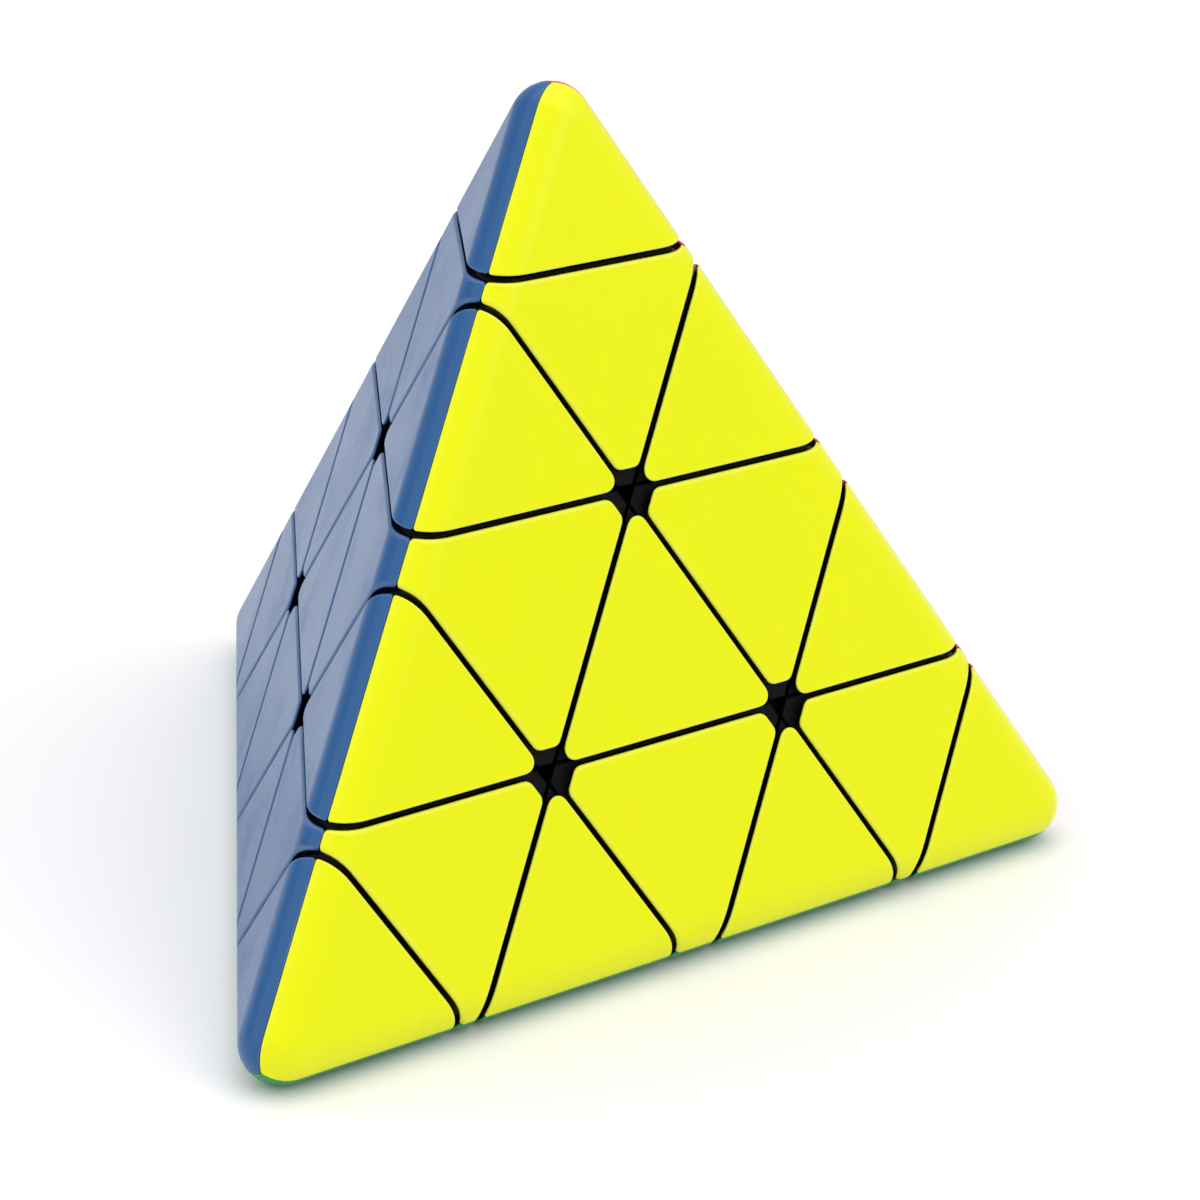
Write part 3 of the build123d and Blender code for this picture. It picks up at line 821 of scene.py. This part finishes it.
@dataclass
class TileSet:
    """The sixty-four coloured tiles, each riding with the layer that it belongs to."""

    body: Pyramid
    palette: Palette
    count: int = 0

    def build(self) -> None:
        """Shapes every kind of tile once and places it on all four faces."""
        plates = {kind: TilePlate(self.body, cuts).build() for kind, cuts in tile_cuts(self.body).items()}
        for colour in FaceColour:
            for own in colour.corners:
                self._place(plates, TileKind.TIP, colour, own, f"tip_{own.label}", "tip_tile")
                for kind in (TileKind.AXIAL, TileKind.WING, TileKind.WING_BACK):
                    self._place(plates, kind, colour, own, f"cap_{own.label}", "cap_tiles")
                self._place(plates, TileKind.MIDDLE, colour, own, "core_body", "fixed_tiles")
            self._place(plates, TileKind.CENTRE, colour, colour.corners[0], "core_body", "fixed_tiles")
        log.info("tiles: %d", self.count)

    def _place(
        self,
        plates: dict[TileKind, Plate],
        kind: TileKind,
        colour: FaceColour,
        own: Corner,
        rider: str,
        node_start: str,
    ) -> None:
        """Puts one tile on its body.

        Args:
            plates: finished plates by kind, in the face frame.
            kind: which plate.
            colour: face that it lies on.
            own: vertex that its face frame points towards.
            rider: body that it moves with.
            node_start: start of the name of the CAD node that it stands for.
        """
        plate = plates[kind]
        seat = self.body.seat(colour.value, own)
        mesh = bpy.data.meshes.new(f"{colour.label}_{kind.value}_{own.label}")
        mesh.from_pydata([seat @ Vector(point) for point in plate.points], [], plate.faces)
        # The rim mark drives the painted rim highlight and the painted shade below the rim in the tile
        # finish.
        rim = mesh.attributes.new("rim", "FLOAT", "POINT")
        rim.data.foreach_set("value", plate.worn.astype(np.float32))
        close_up(mesh)
        turn = seat.to_3x3()
        mesh.normals_split_custom_set_from_vertices([turn @ Vector(facing) for facing in plate.facing])
        mesh.materials.append(self.palette.materials[f"{colour.label}_tile"])
        tile = bpy.data.objects.new(f"{kind.value}_tile_{own.label}_{colour.label}_face", mesh)
        bpy.context.collection.objects.link(tile)
        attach(tile, rider)
        middle = "" if node_start == "fixed_tiles" else f"{own.label}_"
        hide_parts(f"{node_start}_{middle}{colour.label}")
        self.count += 1


def close_up(mesh: bpy.types.Mesh) -> None:
    """Turns all faces of a closed mesh outwards and shades it smooth between its corners."""
    shape = bmesh.new()
    shape.from_mesh(mesh)
    bmesh.ops.recalc_face_normals(shape, faces=shape.faces)
    shape.to_mesh(mesh)
    shape.free()
    mesh.shade_smooth()
    mesh.set_sharp_from_angle(angle=math.radians(38))


@dataclass
class Mechanism:
    """The carried-over CAD solids: bases, core, screws, washers and springs."""

    palette: Palette

    def dress(self) -> None:
        """Gives every CAD node the finish of its material slot."""
        for row in frame["record"]["subparts"]:
            node = frame["nodes"][row["node"]]
            material = self.palette.materials[row["material_slot"]]
            for place in node.material_slots:
                place.material = material
            log.info("dressed %s with %s", row["node"], material.name)


@dataclass
class Studio:
    """Pale floor, soft light and the camera."""

    body: Pyramid
    floor_half: float = 2.5
    floor_colour: tuple[float, float, float, float] = (0.9, 0.9, 0.9, 1.0)
    room_light: float = 0.62
    camera_place: tuple[float, float, float] = (-0.18586, -0.26233, 0.17381)
    heading: float = 36.64
    dip: float = 23.94
    roll: float = 2.49
    lens: float = 104.49
    shift: tuple[float, float] = (-0.00728, -0.02299)

    def build(self) -> None:
        """Sets up floor, lights, surroundings and camera, with plain display colours."""
        bpy.context.scene.view_settings.view_transform = "Standard"
        self._floor()
        self._surroundings()
        self._lamp("key_panel", (0.35, -0.55, 0.75), 0.9, 3.8)
        self._lamp("side_panel", (-0.75, 0.1, 0.45), 0.9, 2.2)
        self._lamp("top_panel", (0.0, 0.25, 1.0), 1.1, 4.4)
        self._camera()

    def _floor(self) -> None:
        """Adds the floor plane, which is not part of the puzzle."""
        half = self.floor_half
        mesh = bpy.data.meshes.new("floor")
        corners = [(-half, -half, 0), (half, -half, 0), (half, half, 0), (-half, half, 0)]
        mesh.from_pydata(corners, [], [(0, 1, 2, 3)])
        material = bpy.data.materials.new("pale_floor")
        material.use_nodes = True
        shader = material.node_tree.nodes["Principled BSDF"]
        shader.inputs["Base Color"].default_value = self.floor_colour
        shader.inputs["Roughness"].default_value = 0.6
        mesh.materials.append(material)
        floor = bpy.data.objects.new("floor", mesh)
        bpy.context.collection.objects.link(floor)
        floor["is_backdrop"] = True

    def _surroundings(self) -> None:
        """Makes the world an even white room."""
        world = bpy.data.worlds.new("white_room")
        world.use_nodes = True
        sky = world.node_tree.nodes["Background"]
        sky.inputs["Color"].default_value = (1.0, 1.0, 1.0, 1.0)
        sky.inputs["Strength"].default_value = self.room_light
        bpy.context.scene.world = world

    def _lamp(self, name: str, place: tuple[float, float, float], size: float, power: float) -> None:
        """Adds one square panel lamp that looks at the puzzle."""
        data = bpy.data.lights.new(name, "AREA")
        data.shape = "SQUARE"
        data.size = size
        data.energy = power
        lamp = bpy.data.objects.new(name, data)
        lamp.location = place
        lamp.rotation_euler = (self.body.centre - lamp.location).to_track_quat("-Z", "Y").to_euler()
        bpy.context.collection.objects.link(lamp)

    def _camera(self) -> None:
        """Adds the camera, turned by heading, dip and roll."""
        data = bpy.data.cameras.new("camera")
        data.lens = self.lens
        data.shift_x, data.shift_y = self.shift
        data.clip_start = 0.01
        camera = bpy.data.objects.new("camera", data)
        pan = Matrix.Rotation(math.radians(-self.heading), 3, "Z")
        tilt = Matrix.Rotation(math.radians(90 - self.dip), 3, "X")
        lean = Matrix.Rotation(math.radians(self.roll), 3, "Z")
        camera.matrix_world = Matrix.Translation(self.camera_place) @ (pan @ tilt @ lean).to_4x4()
        bpy.context.collection.objects.link(camera)
        bpy.context.scene.camera = camera


def main() -> None:
    """Builds the puzzle and its studio."""
    logging.basicConfig(level=logging.INFO, format="%(name)s %(message)s")
    cad_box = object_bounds()
    body = Pyramid(height=cad_box[1].z - cad_box[0].z)
    log.info("pyramid %.2f mm high before rounding", body.full_height / MM)
    palette = Palette()
    palette.mix()
    Mechanism(palette).dress()
    TileSet(body, palette).build()
    Studio(body).build()


if __name__ == "__main__":
    main()
